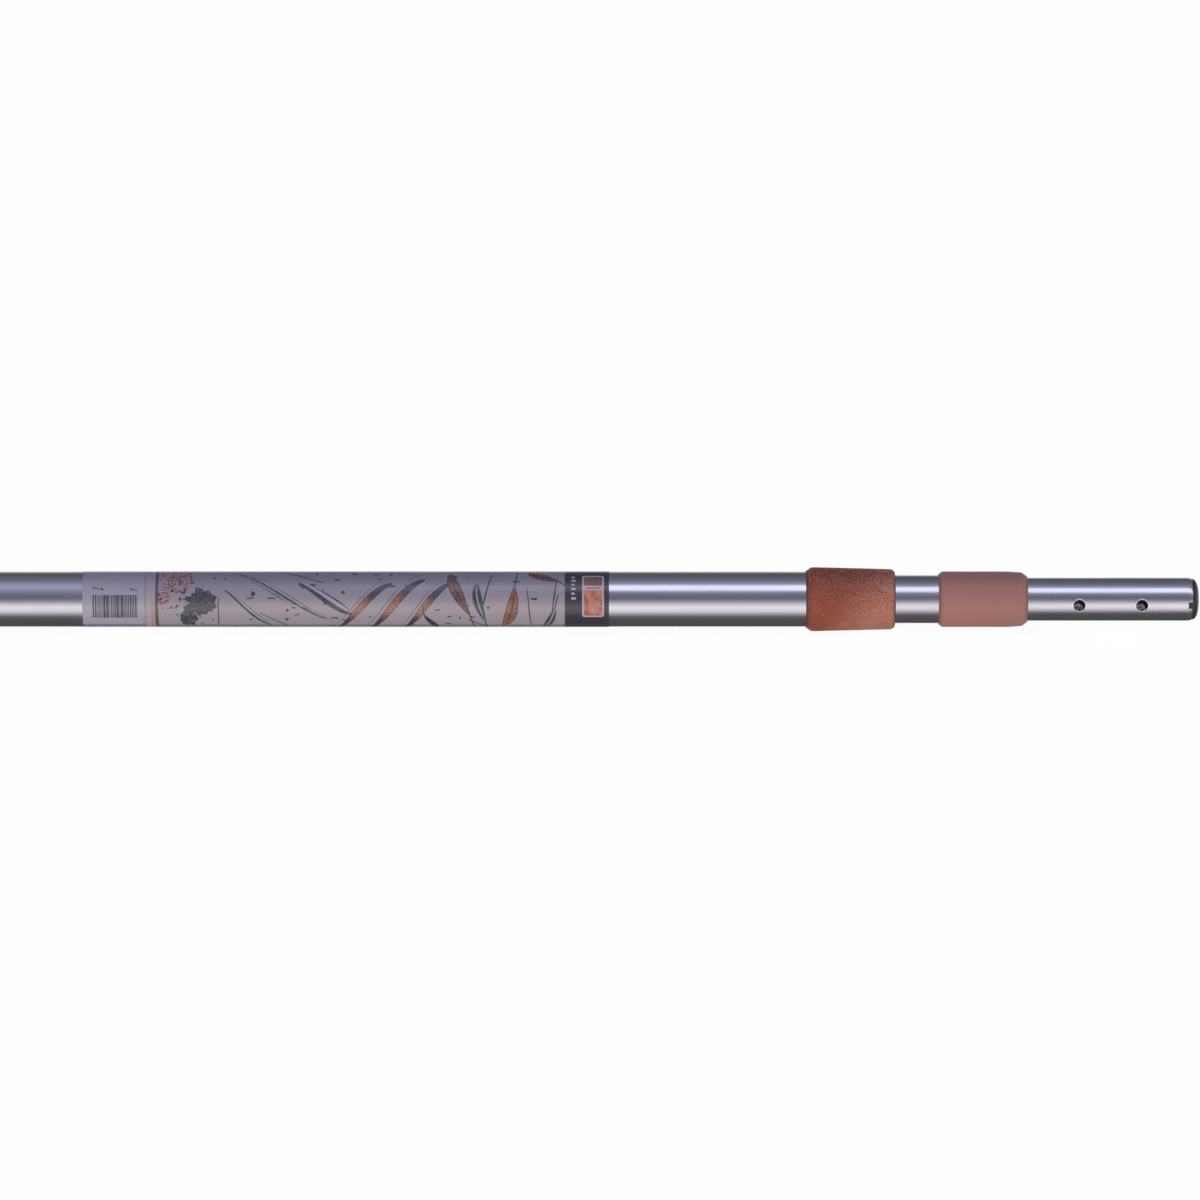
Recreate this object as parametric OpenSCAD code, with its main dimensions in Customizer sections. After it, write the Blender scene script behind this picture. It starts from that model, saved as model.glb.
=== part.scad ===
// Three-section telescopic pole for pool nets, brushes and vacuum heads, in millimetres.
// X runs along the pole, from the flat of the butt cap to the nose of the tip, and Z is up.
// The pole is drawn closed. Each inner section slides out along X and twists about X to lock.

/* [Outer section] */
// Length of the outer tube
outer_len = 1200; // [600:10:1800]
// Wall of the outer tube
outer_wall = 1; // [0.8:0.1:1.6]

/* [Middle section] */
// Gap all round between the middle tube and the bore of the outer tube
middle_gap = 1.3; // [1.2:0.1:2.2]
// Wall of the middle tube
middle_wall = 0.8; // [0.7:0.1:1.4]
// Length of middle tube that shows between the collars
middle_show = 28; // [5:0.5:60]

/* [Tip section] */
// Outside diameter of the tip tube
tip_od = 28; // [26:0.5:32]
// Wall of the tip tube
tip_wall = 1; // [0.8:0.1:1.4]
// Gap all round between the tip tube and the bore of the middle tube
tip_gap = 0.8; // [0.7:0.1:1.4]
// Length of tip tube that shows ahead of the middle collar
tip_show = 106.8; // [92:0.2:160]
// Diameter of the holes that take a tool's spring buttons
clip_hole_d = 8; // [6:0.5:10]
// Distance from the tube's end to the front pair of holes
clip_hole_in = 33; // [30:0.2:38]
// Distance between the two pairs of holes
clip_hole_pitch = 40.6; // [25:0.2:48]

/* [Rolled tip and its cap] */
// Length over which the tube's end is rolled in
roll_len = 4.2; // [3:0.1:6]
// How far the tube's end is rolled in
roll_in = 0.8; // [0.4:0.1:1.2]
// Height of the cap's domed nose
nose_len = 4.6; // [2.5:0.1:6]
// Length of the cap's sleeve inside the tube
cap_sleeve = 12; // [9:0.5:18]
// Wall of the cap's sleeve
cap_sleeve_wall = 1.6; // [1.2:0.1:2.5]
// Width of the cap's key lugs
lug_w = 4.2; // [3:0.1:6]
// Length of the key lugs, and of the notches that they fill
lug_len = 2.8; // [1.5:0.1:2.9]

/* [Outer collar] */
// Length of the outer collar
outer_collar_len = 58; // [50:0.1:80]
// Thickness of the outer collar behind its taper
outer_collar_rear_wall = 2.9; // [2.2:0.05:4]
// Thickness of the outer collar where its front starts to round off
outer_collar_front_wall = 1.75; // [1.4:0.05:2.1]
// Length of the outer collar's rear chamfer
outer_collar_chamfer = 3.6; // [1:0.1:6]
// Distance from the rear of the outer collar to the start of its taper
outer_collar_straight = 8; // [7:0.1:30]
// Length over which the front of the outer collar rounds off
outer_collar_nose = 3.4; // [2:0.1:5]

/* [Middle collar] */
// Length of the middle collar
middle_collar_len = 57.8; // [52:0.1:80]
// Thickness of the middle collar behind its taper
middle_collar_rear_wall = 2.45; // [2.1:0.05:4]
// Thickness of the middle collar where its front chamfer starts
middle_collar_front_wall = 1.85; // [1.4:0.05:2]
// Length of the middle collar's rear chamfer
middle_collar_chamfer = 2.4; // [1:0.1:6]
// Distance from the rear of the middle collar to the start of its taper
middle_collar_straight = 45.5; // [20:0.1:47]
// Length of the middle collar's front chamfer
middle_collar_nose = 3.4; // [2:0.1:5]

/* [Both collars] */
// Length of a collar past the end of its tube
collar_lip = 5.5; // [4.5:0.1:8]
// Thickness of a collar at its rear and front edges
collar_edge = 0.4; // [0.3:0.1:0.8]
// Gap all round between a collar's mouth and the tube that slides in it
mouth_clear = 0.3; // [0.3:0.05:0.6]

/* [Guide bushes] */
// Length of a guide bush inside its tube
bush_len = 60; // [35:1:100]
// Thickness of the bush's flange, which caps the tube's end
bush_flange = 3; // [2:0.1:4]
// Radial running clearance between a bush and the tube that slides in it
slide_clear = 0.2; // [0.15:0.05:0.3]
// Width of a bush's snap lugs
snap_w = 6; // [4:0.5:9]
// Length of a bush's snap lugs
snap_len = 5; // [3:0.5:7]
// Distance from the tube's end to the front of a snap lug
snap_in = 9; // [6:0.5:12]
// Width of the slits that let a lug spring inwards
snap_slit = 1; // [0.6:0.1:1.5]

/* [Cam locks] */
// Twist that locks a section, in degrees
lock_angle = 40; // [30:1:60]
// Offset of the journal from the axis of the pole
cam_offset = 1.2; // [0.9:0.05:1.3]
// Clearance that is left between cam ring and tube at the end of the twist
lock_spare = 0.1; // [0.05:0.05:0.3]
// Diameter of the middle section's journal
middle_journal_d = 17; // [14:0.5:20]
// Diameter of the tip section's journal
tip_journal_d = 14; // [12:0.5:16]
// Length of a journal
journal_len = 18; // [12:0.5:26]
// Radial running clearance between a cam ring and its journal
journal_clear = 0.1; // [0.05:0.05:0.2]
// End play on each side of a cam ring
ring_play = 0.2; // [0.1:0.05:0.4]
// Width of the slit that lets a cam ring snap over its journal
slit_w = 2.5; // [1.5:0.1:4]
// Number of grip grooves round a cam ring
grip_grooves = 26; // [12:2:36]
// Radius of a grip groove
groove_r = 0.5; // [0.3:0.05:0.7]

/* [Cam plugs] */
// Length of a cam plug inside its tube
plug_spigot = 40; // [30:1:60]
// Thickness of the plug's stop flange
plug_flange = 4; // [2.5:0.1:6]
// Gap all round between the stop flange and the bore that it slides in
flange_clear = 0.3; // [0.2:0.05:0.5]
// Wall of the hollow plug
plug_wall = 2.5; // [2:0.1:3.5]
// Thickness of the plug's crossed ribs
plug_rib = 2; // [1.5:0.1:3]
// Solid depth of the plug ahead of its flange
plug_floor = 8; // [5:0.5:9]
// Distance from the tube's end to its cross pin
pin_in = 15; // [13:0.5:22]
// Diameter of the cross pin
pin_d = 4; // [3:0.5:5]
// Wall of the cross pin, which is a rolled spring pin
pin_wall = 0.8; // [0.5:0.1:1]
// Depth of the cross pin's ends below the tube's surface
pin_sink = 0.3; // [0.2:0.05:0.6]

/* [Retaining screws] */
// Diameter of the screw's thread
screw_d = 5; // [4:0.5:6]
// Length of the thread
screw_len = 14; // [10:1:20]
// Diameter of the shoulder that the washer turns on
shoulder_d = 7; // [6.5:0.5:8]
// Diameter of the screw's head
screw_head_d = 11; // [9.5:0.5:13]
// Height of the screw's head
screw_head = 3.2; // [2.5:0.1:4]
// Width of the hexagonal socket across its flats
socket_w = 4; // [2.5:0.5:5]
// Depth of the hexagonal socket
socket_deep = 2.2; // [1.5:0.1:2.3]
// Thickness of the retaining washer
washer_t = 2; // [1:0.1:3]
// Gap all round between the washer and the bore that it slides in
washer_clear = 0.4; // [0.3:0.05:0.6]
// End play on each side of the washer
washer_play = 0.15; // [0.1:0.05:0.3]

/* [Butt end] */
// Thickness of the butt cap's flange
butt_flange = 4; // [3:0.5:6]
// Height of the butt cap's flange above the outer tube
butt_rim = 2; // [1.5:0.1:2.5]
// Radius of the round on the butt cap's edge
butt_round = 2.5; // [1:0.1:2.8]
// Length of the butt cap inside the tube
butt_spigot = 22; // [15:1:35]
// Wall of the hollow butt cap
butt_wall = 2; // [1.5:0.1:3]
// Length of the hand grip
grip_len = 130; // [90:1:180]
// Thickness of the hand grip at its ribs
grip_wall = 2.9; // [2.2:0.05:4]
// Depth of the grooves between the ribs
rib_groove = 1.1; // [0.5:0.1:1.4]
// Distance from rib to rib
rib_pitch = 7; // [5:0.5:12]
// Width of a groove between ribs
rib_groove_w = 2.8; // [2.2:0.1:4]
// Plain length at each end of the grip
grip_plain = 10; // [6:0.5:16]
// Chamfer at each end of the grip
grip_chamfer = 1.5; // [0.5:0.1:1.8]

/* [Labels] */
// Bare tube between the printed sleeve and the outer collar
bare_len = 127.7; // [80:0.1:160]
// Length of the printed sleeve
sleeve_len = 292.2; // [150:0.2:320]
// Length of the code label
code_len = 48.6; // [35:0.1:70]
// Thickness of the printed sleeve
sleeve_film = 0.16; // [0.1:0.02:0.3]
// Thickness of the code label
code_film = 0.12; // [0.08:0.02:0.3]

/* [Hidden] */

$fn = 96;
fit = 0.05;          // radial clearance of a piece that is pushed into or over another
film_fit = 0.02;     // radial clearance under a label
stop_gap = 0.5;      // gap at the inner stop of a closed section
thread_spare = 2;    // depth of a screw's hole past the end of its thread
overcut = 1;         // how far a cutter runs past the face that it cuts
round_steps = 6;     // facets along a rounded edge
dome_steps = 14;     // facets along the domed nose

// Radii, from the tip tube outwards
tip_r = tip_od / 2;
tip_bore = tip_r - tip_wall;
middle_bore = tip_r + tip_gap;
middle_r = middle_bore + middle_wall;
outer_bore = middle_r + middle_gap;
outer_r = outer_bore + outer_wall;

// The cam ring meets its tube when the journal has turned by the lock angle
cam_clear = 2 * cam_offset * sin(lock_angle / 2) + lock_spare;

// Room between the washer's faces, and the length of a lock behind its tube
washer_room = washer_t + 2 * washer_play;
lock_len = plug_flange + journal_len + washer_room + screw_head;

// Places along the pole, from the butt cap to the nose of the tip
outer_start = butt_flange;
outer_end = outer_start + outer_len;
middle_start = outer_start + butt_spigot + stop_gap + lock_len;
tip_start = middle_start + plug_spigot + stop_gap + lock_len;
outer_collar_front = outer_end + collar_lip;
outer_collar_rear = outer_collar_front - outer_collar_len;
middle_collar_rear = outer_collar_front + middle_show;
middle_collar_front = middle_collar_rear + middle_collar_len;
middle_end = middle_collar_front - collar_lip;
tip_end = middle_collar_front + tip_show;
front_holes = tip_end - clip_hole_in;
rear_holes = front_holes - clip_hole_pitch;
sleeve_front = outer_collar_rear - bare_len;
sleeve_rear = sleeve_front - sleeve_len;
code_rear = sleeve_rear - code_len;

echo(closed_length = tip_end + nose_len);
echo(middle_travel = outer_end - bush_len - middle_start - stop_gap);
echo(tip_travel = middle_end - bush_len - tip_start - stop_gap);

// Turns a drawing that stands on Z so that it lies along the pole
module along_x(x = 0) translate([x, 0, 0]) rotate([0, 90, 0]) children();

// A solid turned about the pole's axis from a closed outline of [x, radius] points
module turned(outline) along_x() rotate_extrude() polygon([for (p = outline) [p[1], p[0]]]);

// A plain tube between two places on the axis
module pipe(x0, x1, r, bore) turned([[x0, bore], [x1, bore], [x1, r], [x0, r]]);

// A solid round bar between two places on the axis
module bar(x0, x1, r) along_x(x0) cylinder(h = x1 - x0, r = r);

// Points of an elliptic quarter round, which leaves [x0, r0] along the pole and meets [x1, r1] across it
function quarter_round(x0, r0, x1, r1, steps) = [
    for (i = [0:steps]) let (a = 90 * i / steps)
        [x0 + (x1 - x0) * sin(a), r1 + (r0 - r1) * cos(a)]
];

function reversed(list) = [for (i = [len(list) - 1:-1:0]) list[i]];

// A hole straight across the pole, through both walls of a tube
module cross_hole(x, d, r) translate([x, 0, 0]) rotate([90, 0, 0])
    cylinder(h = 2 * (r + overcut), d = d, center = true);

// The two windows near a tube's front end, or the two snap lugs that fill them
module snap_blocks(tube_end, r, spare = 0) translate([tube_end - snap_in - snap_len / 2, 0, 0])
    cube([snap_len + 2 * spare, snap_w + 2 * spare, 2 * (r + overcut)], center = true);

// Nylon bush that lines the front end of a tube, with lugs that snap into the tube's windows
module guide_bush(tube_end, tube_r, tube_bore, slide_r) {
    bore = slide_r + slide_clear;
    spigot_r = tube_bore - fit;
    rear = tube_end - bush_len;
    difference() {
        union() {
            turned([[rear, bore], [tube_end + bush_flange, bore], [tube_end + bush_flange, tube_r],
                [tube_end, tube_r], [tube_end, spigot_r], [rear, spigot_r]]);
            intersection() {
                snap_blocks(tube_end, tube_r);
                pipe(rear, tube_end, tube_r, (bore + spigot_r) / 2);
            }
        }
        for (side = [-1, 1])
            translate([tube_end - snap_in - snap_len / 2, side * (snap_w + snap_slit) / 2, 0])
                cube([2 * snap_len, snap_slit, 2 * (tube_r + overcut)], center = true);
    }
}

// Soft collar, chamfered behind, whose front lip closes in on the tube that slides in it.
// Its outside goes from rear_wall to front_wall, and then over the nose in the given steps.
module collar(rear, len, tube_end, tube_r, slide_r, rear_wall, front_wall, chamfer, straight, nose, steps) {
    bore = tube_r + fit;
    mouth = slide_r + mouth_clear;
    front = rear + len;
    turned(concat(
        [[rear, bore], [rear, bore + collar_edge], [rear + chamfer, tube_r + rear_wall],
            [rear + straight, tube_r + rear_wall]],
        quarter_round(front - nose, tube_r + front_wall, front, mouth + collar_edge, steps),
        [[front, mouth], [tube_end + bush_flange, mouth], [tube_end + bush_flange, bore]]
    ));
}

// Moulded plug in the inner end of a sliding tube, with a stop flange and an eccentric journal
module cam_plug(tube_start, tube_r, tube_bore, lock_bore, journal_d) {
    spigot_r = tube_bore - fit;
    flange_rear = tube_start - plug_flange;
    journal_rear = flange_rear - journal_len;
    difference() {
        union() {
            bar(flange_rear, tube_start, lock_bore - flange_clear);
            bar(tube_start - plug_flange / 2, tube_start + plug_spigot, spigot_r);
            translate([0, 0, cam_offset]) bar(journal_rear, tube_start - plug_flange / 2, journal_d / 2);
        }
        // Hollow front, with crossed ribs left standing
        difference() {
            bar(tube_start + plug_floor, tube_start + plug_spigot + overcut, spigot_r - plug_wall);
            for (turn = [45, 135])
                translate([tube_start + plug_spigot / 2, 0, 0]) rotate([turn, 0, 0])
                    cube([plug_spigot + 4 * overcut, 2 * spigot_r, plug_rib], center = true);
        }
        cross_hole(tube_start + pin_in, pin_d + 2 * fit, tube_r);
        bar(journal_rear - overcut, journal_rear + screw_len + thread_spare, screw_d / 2 + fit);
    }
}

// Rolled spring pin that holds the plug in its tube
module plug_pin(tube_start, tube_r) translate([tube_start + pin_in, 0, 0]) rotate([90, 0, 0]) {
    pin_len = 2 * (tube_r - pin_sink);
    difference() {
        cylinder(h = pin_len, d = pin_d, center = true);
        cylinder(h = pin_len + overcut, d = pin_d - 2 * pin_wall, center = true);
        translate([pin_d / 2, 0, 0]) cube([pin_d, pin_wall, pin_len + overcut], center = true);
    }
}

// Split ring whose bore is as far off centre as the journal, so that a twist wedges it in the tube
module cam_ring(tube_start, lock_bore, journal_d) {
    r = lock_bore - cam_clear;
    ring_rear = tube_start - plug_flange - journal_len + ring_play;
    along_x(ring_rear) linear_extrude(journal_len - 2 * ring_play) difference() {
        circle(r);
        translate([-cam_offset, 0]) circle(journal_d / 2 + journal_clear);
        translate([-r, 0]) square([2 * r, slit_w], center = true);
        for (i = [0:grip_grooves - 1])
            rotate(360 * (i + 0.5) / grip_grooves) translate([r, 0]) circle(groove_r, $fn = 24);
    }
}

// Loose washer that keeps the cam ring on its journal
module cam_washer(tube_start, lock_bore) {
    front = tube_start - plug_flange - journal_len - washer_play;
    pipe(front - washer_t, front, lock_bore - washer_clear, shoulder_d / 2 + journal_clear);
}

// Shoulder screw that holds the washer. Its head is the section's inner stop.
module cam_screw(tube_start) {
    journal_rear = tube_start - plug_flange - journal_len;
    head_front = journal_rear - washer_room;
    head_rear = head_front - screw_head;
    chamfer = screw_head / 4;
    difference() {
        turned([[head_rear, 0], [head_rear, screw_head_d / 2 - chamfer], [head_rear + chamfer, screw_head_d / 2],
            [head_front, screw_head_d / 2], [head_front, shoulder_d / 2], [journal_rear, shoulder_d / 2],
            [journal_rear, screw_d / 2], [journal_rear + screw_len, screw_d / 2], [journal_rear + screw_len, 0]]);
        along_x(head_rear - overcut) cylinder(h = socket_deep + overcut, d = socket_w / cos(30), $fn = 6);
    }
}

module outer_tube() color([0.66, 0.66, 0.72]) difference() {
    pipe(outer_start, outer_end, outer_r, outer_bore);
    snap_blocks(outer_end, outer_r, fit);
}

// Ribbed sleeve at the butt end
module hand_grip() color([0.16, 0.16, 0.17]) {
    bore = outer_r + fit;
    r = outer_r + grip_wall;
    end = outer_start + grip_len;
    grooves = floor((grip_len - 2 * grip_plain - rib_groove_w) / rib_pitch);
    first = outer_start + (grip_len - grooves * rib_pitch) / 2;
    side = rib_groove_w / 2;
    turned(concat(
        [[end, bore], [outer_start, bore], [outer_start, r - grip_chamfer], [outer_start + grip_chamfer, r]],
        [for (i = [0:grooves]) let (x = first + i * rib_pitch) each
            [[x - side, r], [x - side + rib_groove / 2, r - rib_groove],
                [x + side - rib_groove / 2, r - rib_groove], [x + side, r]]],
        [[end - grip_chamfer, r], [end, r - grip_chamfer]]
    ));
}

// Hollow plug with a rounded flange, which closes the butt end
module butt_cap() color([0.13, 0.13, 0.14]) {
    spigot_r = outer_bore - fit;
    flange_r = outer_r + butt_rim;
    turned(concat(
        [[0, 0]],
        reversed(quarter_round(butt_round, flange_r, 0, flange_r - butt_round, round_steps)),
        [[outer_start, flange_r], [outer_start, spigot_r], [outer_start + butt_spigot, spigot_r],
            [outer_start + butt_spigot, spigot_r - butt_wall], [outer_start, spigot_r - butt_wall], [outer_start, 0]]
    ));
}

module code_label() color([0.62, 0.6, 0.68])
    pipe(code_rear, sleeve_rear, outer_r + film_fit + code_film, outer_r + film_fit);

module printed_sleeve() color([0.6, 0.57, 0.62])
    pipe(sleeve_rear, sleeve_front, outer_r + film_fit + sleeve_film, outer_r + film_fit);

module outer_guide_bush() color([0.2, 0.2, 0.22])
    guide_bush(outer_end, outer_r, outer_bore, middle_r);

module outer_collar() color([0.55, 0.3, 0.25])
    collar(outer_collar_rear, outer_collar_len, outer_end, outer_r, middle_r,
        outer_collar_rear_wall, outer_collar_front_wall, outer_collar_chamfer,
        outer_collar_straight, outer_collar_nose, round_steps);

module middle_tube() color([0.66, 0.66, 0.72]) difference() {
    pipe(middle_start, middle_end, middle_r, middle_bore);
    snap_blocks(middle_end, middle_r, fit);
    cross_hole(middle_start + pin_in, pin_d + 2 * fit, middle_r);
}

module middle_cam_plug() color([0.85, 0.84, 0.8])
    cam_plug(middle_start, middle_r, middle_bore, outer_bore, middle_journal_d);

module middle_plug_pin() color([0.5, 0.5, 0.52])
    plug_pin(middle_start, middle_r);

module middle_cam_ring() color([0.8, 0.3, 0.15])
    cam_ring(middle_start, outer_bore, middle_journal_d);

module middle_cam_washer() color([0.85, 0.84, 0.8])
    cam_washer(middle_start, outer_bore);

module middle_cam_screw() color([0.6, 0.6, 0.62])
    cam_screw(middle_start);

module middle_guide_bush() color([0.2, 0.2, 0.22])
    guide_bush(middle_end, middle_r, middle_bore, tip_r);

module middle_collar() color([0.63, 0.43, 0.39])
    collar(middle_collar_rear, middle_collar_len, middle_end, middle_r, tip_r,
        middle_collar_rear_wall, middle_collar_front_wall, middle_collar_chamfer,
        middle_collar_straight, middle_collar_nose, 1);

// Tip tube, rolled in at its end over the cap, with two pairs of holes and two notches
module tip_tube() color([0.66, 0.66, 0.72]) difference() {
    turned(concat(
        [[tip_start, tip_bore], [tip_end - roll_len, tip_bore], [tip_end, tip_bore - roll_in]],
        reversed(quarter_round(tip_end - roll_len, tip_r, tip_end, tip_r - roll_in, round_steps)),
        [[tip_start, tip_r]]
    ));
    cross_hole(front_holes, clip_hole_d, tip_r);
    cross_hole(rear_holes, clip_hole_d, tip_r);
    cross_hole(tip_start + pin_in, pin_d + 2 * fit, tip_r);
    translate([tip_end - lug_len, -tip_r - overcut, -lug_w / 2 - fit])
        cube([lug_len + overcut, 2 * (tip_r + overcut), lug_w + 2 * fit]);
}

module tip_cam_plug() color([0.85, 0.84, 0.8])
    cam_plug(tip_start, tip_r, tip_bore, middle_bore, tip_journal_d);

module tip_plug_pin() color([0.5, 0.5, 0.52])
    plug_pin(tip_start, tip_r);

module tip_cam_ring() color([0.8, 0.3, 0.15])
    cam_ring(tip_start, middle_bore, tip_journal_d);

module tip_cam_washer() color([0.85, 0.84, 0.8])
    cam_washer(tip_start, middle_bore);

module tip_cam_screw() color([0.6, 0.6, 0.62])
    cam_screw(tip_start);

// Domed cap that the tip tube is rolled over, with a key lug in each notch
module tip_end_cap() color([0.13, 0.13, 0.14]) {
    nose_r = tip_r - roll_in;
    sleeve_r = tip_bore - fit;
    sleeve_rear = tip_end - cap_sleeve;
    neck_r = sleeve_r - roll_in;
    union() {
        turned(concat(
            [[tip_end - roll_len, 0], [tip_end - roll_len, sleeve_r - cap_sleeve_wall],
                [sleeve_rear, sleeve_r - cap_sleeve_wall], [sleeve_rear, sleeve_r],
                [tip_end - roll_len, sleeve_r], [tip_end, neck_r]],
            quarter_round(tip_end, nose_r, tip_end + nose_len, 0, dome_steps)
        ));
        intersection() {
            translate([tip_end - lug_len + fit, -tip_r, -lug_w / 2])
                cube([lug_len + nose_len / 2, 2 * tip_r, lug_w]);
            turned([[tip_end - roll_len, neck_r / 2], [tip_end + nose_len / 4, neck_r / 2],
                [tip_end, nose_r - fit], [tip_end - roll_len, tip_r - fit]]);
        }
    }
}

outer_tube();
hand_grip();
butt_cap();
code_label();
printed_sleeve();
outer_guide_bush();
outer_collar();
middle_tube();
middle_cam_plug();
middle_plug_pin();
middle_cam_ring();
middle_cam_washer();
middle_cam_screw();
middle_guide_bush();
middle_collar();
tip_tube();
tip_cam_plug();
tip_plug_pin();
tip_cam_ring();
tip_cam_washer();
tip_cam_screw();
tip_end_cap();
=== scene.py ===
# Telescopic pool pole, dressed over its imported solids
import math
import random

import bmesh
import bpy
from mathutils import Matrix, Vector, noise
from mathutils.geometry import delaunay_2d_cdt, interpolate_bezier


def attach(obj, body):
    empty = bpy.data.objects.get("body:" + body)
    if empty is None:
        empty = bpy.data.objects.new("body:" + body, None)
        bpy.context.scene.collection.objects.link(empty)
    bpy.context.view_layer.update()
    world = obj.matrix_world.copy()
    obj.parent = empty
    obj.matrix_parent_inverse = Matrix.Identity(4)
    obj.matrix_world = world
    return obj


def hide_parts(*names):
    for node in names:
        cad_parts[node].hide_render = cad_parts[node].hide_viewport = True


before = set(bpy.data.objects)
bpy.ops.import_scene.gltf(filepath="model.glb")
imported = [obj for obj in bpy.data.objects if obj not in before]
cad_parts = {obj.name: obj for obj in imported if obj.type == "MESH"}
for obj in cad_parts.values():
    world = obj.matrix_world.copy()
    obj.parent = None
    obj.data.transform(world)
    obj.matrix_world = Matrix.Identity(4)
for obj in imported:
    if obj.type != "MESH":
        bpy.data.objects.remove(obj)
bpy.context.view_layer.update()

mm = 0.001
fullTurn = 2 * math.pi


# Small helpers

def linearColour(hexColour):
    # sRGB hex to the linear colour that Blender's sockets take
    parts = [int(hexColour[i:i + 2], 16) / 255 for i in (1, 3, 5)]
    return [c / 12.92 if c <= 0.04045 else ((c + 0.055) / 1.055) ** 2.4 for c in parts] + [1]


def perMm(size):
    # scale of a pattern on Object coordinates whose features are this many millimetres
    return 1 / (size * mm)


def addNode(tree, kind, links=None, out=None, **settings):
    # a node with its settings, and its values, hex colours and links by socket name. Back comes one of
    # its outputs.
    made = tree.nodes.new(kind)
    for key, value in settings.items():
        setattr(made, key, value)
    for name, value in (links or {}).items():
        socket = made.inputs[name] if isinstance(name, int) else next(
            s for s in made.inputs if s.enabled and s.name == name)
        if isinstance(value, bpy.types.NodeSocket):
            tree.links.new(value, socket)
        else:
            socket.default_value = linearColour(value) if isinstance(value, str) else value
    return made.outputs[out] if out else next((s for s in made.outputs if s.enabled), None)


def setStops(output, stops, interpolation="LINEAR"):
    # gives the colour ramp that owns this output its (position, hex colour) stops, from left to right
    ramp = output.node.color_ramp
    ramp.interpolation = interpolation
    while len(ramp.elements) < len(stops):
        ramp.elements.new(0.5)
    for element, (position, colour) in zip(ramp.elements, stops):
        element.position = position
        element.color = linearColour(colour)
    return output


def newMaterial(name, **values):
    # a material with its shader's plain values set by socket name, with _ for a space
    material = bpy.data.materials.new(name)
    material.use_nodes = True
    tree = material.node_tree
    shader = tree.nodes["Principled BSDF"]
    for key, value in values.items():
        shader.inputs[key.replace("_", " ")].default_value = value
    return material, tree, shader


def turned(outline, steps, cell=0.0):
    # a closed outline of (x, radius) or (x, radius, rounding) points in mm, turned about the pole's axis
    bm = bmesh.new()
    corners = [bm.verts.new((p[0] * mm, 0, p[1] * mm)) for p in outline]
    onAxis = outline[0][1] == 0 and outline[-1][1] == 0
    for a, b in zip(corners, corners[1:] + ([] if onAxis else corners[:1])):
        bm.edges.new((a, b))
    for corner, point in zip(corners, outline):
        if len(point) > 2:
            bmesh.ops.bevel(bm, geom=[corner], offset=point[2] * mm, segments=4, profile=0.5,
                            affect="VERTICES", material=-1)
    if cell:
        for edge in list(bm.edges):
            cuts = int(edge.calc_length() / (cell * mm))
            if cuts:
                bmesh.ops.subdivide_edges(bm, edges=[edge], cuts=cuts)
    bmesh.ops.spin(bm, geom=bm.verts[:] + bm.edges[:], cent=(0, 0, 0), axis=(1, 0, 0),
                   angle=fullTurn, steps=steps, use_merge=True)
    bmesh.ops.remove_doubles(bm, verts=bm.verts, dist=0.002 * mm)
    bmesh.ops.recalc_face_normals(bm, faces=bm.faces)
    return bm


def quarterRound(x0, r0, x1, r1, steps):
    # leaves (x0, r0) along the pole and meets (x1, r1) across it
    angles = [math.pi / 2 * i / steps for i in range(steps + 1)]
    return [(x0 + (x1 - x0) * math.sin(a), r1 + (r0 - r1) * math.cos(a)) for a in angles]


def asObject(bm, name, materials, sharp=35):
    mesh = bpy.data.meshes.new(name)
    for face in bm.faces:
        face.smooth = True
    bm.to_mesh(mesh)
    bm.free()
    mesh.set_sharp_from_angle(angle=math.radians(sharp))
    for material in materials:
        mesh.materials.append(material)
    made = bpy.data.objects.new(name, mesh)
    bpy.context.scene.collection.objects.link(made)
    return made


def cutAway(target, cutter, sharp=35):
    # takes the cutter's solids out of the target and keeps the result as its mesh
    tool = asObject(cutter, "cutter", [])
    cut = target.modifiers.new("cut", "BOOLEAN")
    cut.object = tool
    cut.operation = "DIFFERENCE"
    cut.solver = "EXACT"
    bpy.context.view_layer.update()
    shape = bpy.data.meshes.new_from_object(target.evaluated_get(bpy.context.evaluated_depsgraph_get()))
    target.modifiers.clear()
    target.data = shape
    shape.name = target.name
    shape.set_sharp_from_angle(angle=math.radians(sharp))
    bpy.data.objects.remove(tool)


def addRod(bm, x, radius, reach):
    # a round cutter straight across the pole, along Y
    place = Matrix.Translation((x * mm, 0, 0)) @ Matrix.Rotation(math.pi / 2, 4, "X")
    bmesh.ops.create_cone(bm, cap_ends=True, segments=96, radius1=radius * mm, radius2=radius * mm,
                          depth=2 * reach * mm, matrix=place)


def addBlock(bm, x0, x1, halfY, halfZ):
    place = Matrix.Translation(((x0 + x1) / 2 * mm, 0, 0))
    size = Matrix.Diagonal(((x1 - x0) * mm, 2 * halfY * mm, 2 * halfZ * mm, 1))
    bmesh.ops.create_cube(bm, size=1, matrix=place @ size)


def moveInto(bm, part):
    # the part's faces join bm, and the part is gone
    loose = bpy.data.meshes.new("loose")
    part.to_mesh(loose)
    part.free()
    bm.from_mesh(loose)
    bpy.data.meshes.remove(loose)


def settle(made, body, slot, *nodes):
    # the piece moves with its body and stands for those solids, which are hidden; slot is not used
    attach(made, body)
    if nodes:
        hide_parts(*nodes)
    return made


# Materials, each named for what the real one is and how it was made

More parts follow.
